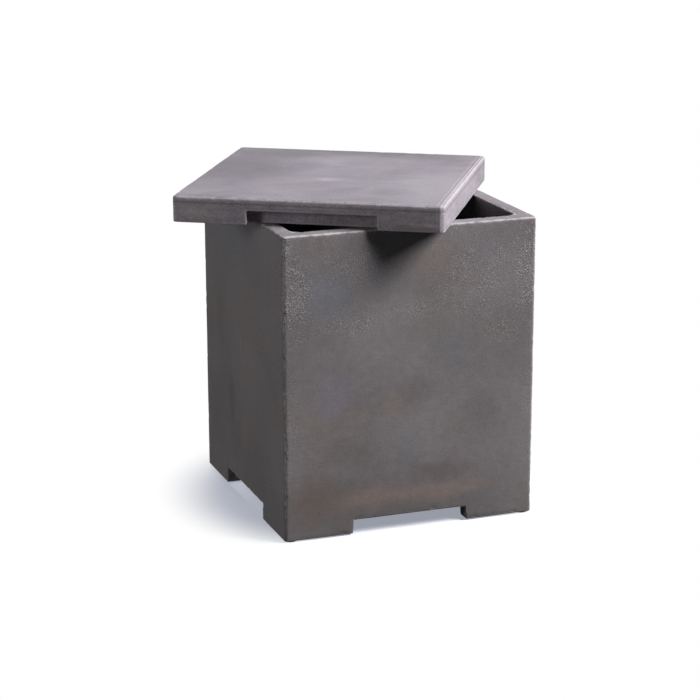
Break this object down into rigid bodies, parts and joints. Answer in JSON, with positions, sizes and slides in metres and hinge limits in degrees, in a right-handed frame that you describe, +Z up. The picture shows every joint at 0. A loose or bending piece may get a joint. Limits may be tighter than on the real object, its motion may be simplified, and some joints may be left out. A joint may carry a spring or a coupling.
{
  "type": "propane tank cover table",
  "caption": "Square cast concrete enclosure with corner feet and an open top, and a loose square slab lid with finger recesses lying turned on its rim.",
  "frame": {"origin": "middle of the overall box on the floor, which is the point under the lid's middle, 47.3 mm left of and 18.4 mm behind the enclosure's middle", "axes": "+Z up, -Y towards the enclosure's front wall, +X to the right of it; the enclosure's walls are square to X and Y, and the lid is turned 31.7 degrees clockwise seen from above"},
  "size_m": [0.6318, 0.6318, 0.5793],
  "materials": {
    "cast_concrete": "matt cast concrete, trowelled top, sandy pitted sides",
    "black_rubber": "matt moulded rubber"
  },
  "bodies": {
    "enclosure": {"enclosure_shell": "cast_concrete", "foot_pad_front_left": "black_rubber", "foot_pad_front_right": "black_rubber", "foot_pad_back_left": "black_rubber", "foot_pad_back_right": "black_rubber"},
    "lid": {"lid_slab": "cast_concrete", "lid_bumper_front_left": "black_rubber", "lid_bumper_front_right": "black_rubber", "lid_bumper_back_left": "black_rubber", "lid_bumper_back_right": "black_rubber"}
  },
  "joints": [
    {"name": "lid_lift", "type": "slide", "parent": "enclosure", "child": "lid", "axis": [0, 0, 1], "range_m": [0, 0.3]}
  ]
}
